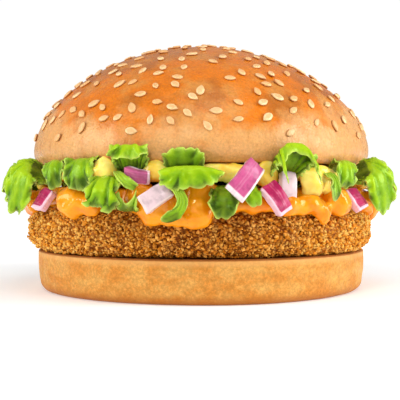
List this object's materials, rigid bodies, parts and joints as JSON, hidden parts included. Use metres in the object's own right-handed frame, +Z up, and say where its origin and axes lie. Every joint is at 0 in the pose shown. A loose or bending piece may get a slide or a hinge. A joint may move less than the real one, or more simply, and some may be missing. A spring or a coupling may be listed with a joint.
{
  "type": "chicken burger",
  "caption": "Breaded chicken burger in a domed sesame seed bun, with lettuce, red onion, melted cheese and orange sauce showing round the side.",
  "frame": {"origin": "centre of the flat underside of the lower bun, on the surface it rests on", "axes": "+Z up through the stack, -Y towards the side shown in the picture, +X to that view's right"},
  "size_m": [0.1188, 0.1202, 0.0748],
  "materials": {
    "bun": "satin baked crust",
    "breading": "rough fried crumb",
    "lettuce": "waxy leaf",
    "onion": "wet and smooth",
    "cheese": "melted, smooth",
    "sauce": "wet and glossy"
  },
  "bodies": {
    "root": {"cheese": "cheese", "crown": "bun", "heel": "bun", "lettuce_back_1": "lettuce", "lettuce_back_2": "lettuce", "lettuce_back_3": "lettuce", "lettuce_back_4": "lettuce", "lettuce_back_5": "lettuce", "lettuce_back_6": "lettuce", "lettuce_back_7": "lettuce", "lettuce_back_8": "lettuce", "lettuce_bed": "lettuce", "lettuce_behind_left": "lettuce", "lettuce_cup": "lettuce", "lettuce_flap": "lettuce", "lettuce_hood_left": "lettuce", "lettuce_hood_right": "lettuce", "lettuce_hump": "lettuce", "lettuce_left_inner": "lettuce", "lettuce_left_middle": "lettuce", "lettuce_left_outer": "lettuce", "lettuce_pocket": "lettuce", "lettuce_right_inner": "lettuce", "lettuce_right_middle": "lettuce", "lettuce_right_outer": "lettuce", "lettuce_saddle": "lettuce", "lettuce_sliver": "lettuce", "lettuce_strip": "lettuce", "lettuce_tail": "lettuce", "lettuce_tongue": "lettuce", "lettuce_wisp": "lettuce", "onion_back_1": "onion", "onion_back_2": "onion", "onion_back_3": "onion", "onion_back_4": "onion", "onion_back_5": "onion", "onion_back_6": "onion", "onion_bright": "onion", "onion_hooded": "onion", "onion_left": "onion", "onion_long": "onion", "onion_pale": "onion", "onion_right": "onion", "onion_small": "onion", "patty": "breading", "sauce": "sauce"}
  },
  "joints": []
}
